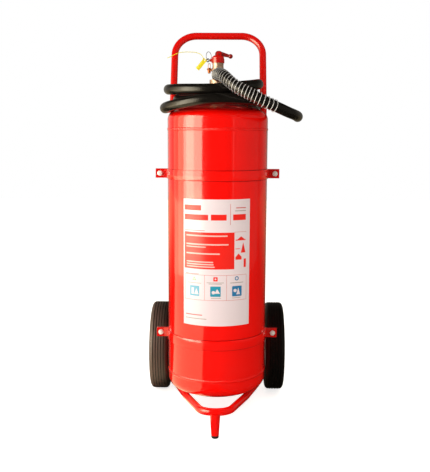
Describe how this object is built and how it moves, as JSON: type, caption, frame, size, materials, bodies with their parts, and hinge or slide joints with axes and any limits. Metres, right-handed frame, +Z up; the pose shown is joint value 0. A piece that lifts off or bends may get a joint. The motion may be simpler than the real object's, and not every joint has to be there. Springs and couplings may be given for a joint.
{
  "type": "wheeled fire extinguisher",
  "caption": "Wheeled dry powder fire extinguisher: red pressure vessel on a tube trolley with a lever valve, a coiled hose with wire guard and a squeeze nozzle.",
  "frame": {"origin": "on the floor, in the middle of the trolley between the wheels' rear and the foot stem", "axes": "+Z up, +Y to the back (handle and wheels), -Y to the front (foot), +X to the right seen from the front"},
  "size_m": [0.4773, 0.59, 1.181],
  "materials": {
    "red_paint": "gloss",
    "label_white": "satin",
    "zinc": "satin",
    "steel": "polished",
    "nickel_brass": "satin",
    "copper": "satin",
    "brass": "satin",
    "black_rubber": "matte",
    "tyre_rubber": "matte",
    "rim_grey": "satin",
    "nylon": "matte",
    "black_plastic": "satin",
    "yellow_plastic": "satin",
    "dull_steel": "satin",
    "white_plastic": "matte"
  },
  "bodies": {
    "root": {"vessel_shell": "red_paint", "head_top": "red_paint", "head_bottom": "red_paint", "weld_beads": "red_paint", "neck_collar": "red_paint", "label": "label_white", "dip_tube": "white_plastic", "valve_body": "nickel_brass", "valve_gasket": "black_rubber", "valve_cap": "red_paint", "valve_spring": "steel", "lever_axle": "red_paint", "relief_fitting": "copper", "outlet_coupling": "nickel_brass", "hose_ferrule": "dull_steel", "spring_guard": "steel", "hose_lead": "black_rubber", "hose_coil": "black_rubber", "hose_tail": "black_rubber", "nozzle_ferrule": "dull_steel", "nozzle_body": "black_plastic", "nozzle_tip": "brass", "trigger_pin": "steel", "nozzle_clip": "red_paint", "handle_frame": "red_paint", "foot_loop": "red_paint", "foot_stem": "red_paint", "foot_tip": "black_rubber", "upper_band_front": "red_paint", "upper_band_rear": "red_paint", "lower_band_front": "red_paint", "lower_band_rear": "red_paint", "band_bolts": "zinc", "band_washers": "zinc", "band_nuts": "zinc", "axle_bracket_left": "red_paint", "axle_bracket_right": "red_paint", "axle": "zinc", "axle_spacers": "zinc", "axle_washers": "zinc", "split_pins": "zinc"},
    "wheel_left": {"tyre_left": "tyre_rubber", "rim_left": "rim_grey", "bush_left": "nylon"},
    "wheel_right": {"tyre_right": "tyre_rubber", "rim_right": "rim_grey", "bush_right": "nylon"},
    "valve_lever": {"lever_arm": "red_paint", "lever_knob": "red_paint"},
    "pin": {"safety_pin": "dull_steel", "pull_ring": "dull_steel", "seal_tag": "yellow_plastic", "seal_tail": "yellow_plastic"},
    "stem": {"valve_stem": "steel", "stem_seal": "black_rubber"},
    "trigger": {"nozzle_trigger": "red_paint"}
  },
  "joints": [
    {"name": "wheel_left_spin", "type": "hinge", "parent": "root", "child": "wheel_left", "pos_m": [-0.19, 0.149, 0.146], "axis": [1, 0, 0], "continuous": true},
    {"name": "wheel_right_spin", "type": "hinge", "parent": "root", "child": "wheel_right", "pos_m": [0.19, 0.149, 0.146], "axis": [1, 0, 0], "continuous": true},
    {"name": "lever_turn", "type": "hinge", "parent": "root", "child": "valve_lever", "pos_m": [0.0034, -0.048, 1.0925], "axis": [0, -1, 0], "range_deg": [0, 100]},
    {"name": "stem_travel", "type": "slide", "parent": "root", "child": "stem", "axis": [0, 0, -1], "range_m": [0, 0.003], "deforming": ["valve_spring"]},
    {"name": "pin_pull", "type": "slide", "parent": "root", "child": "pin", "axis": [-1, 0, 0], "range_m": [0, 0.034]},
    {"name": "trigger_squeeze", "type": "hinge", "parent": "root", "child": "trigger", "pos_m": [-0.128, 0.155, 0.668], "axis": [1, 0, 0], "range_deg": [0, 12], "stiffness_Nm_per_rad": 0.5}
  ],
  "couplings": [
    {"joint": "stem_travel", "follows": "lever_turn", "m_per_rad": 0.001719}
  ]
}
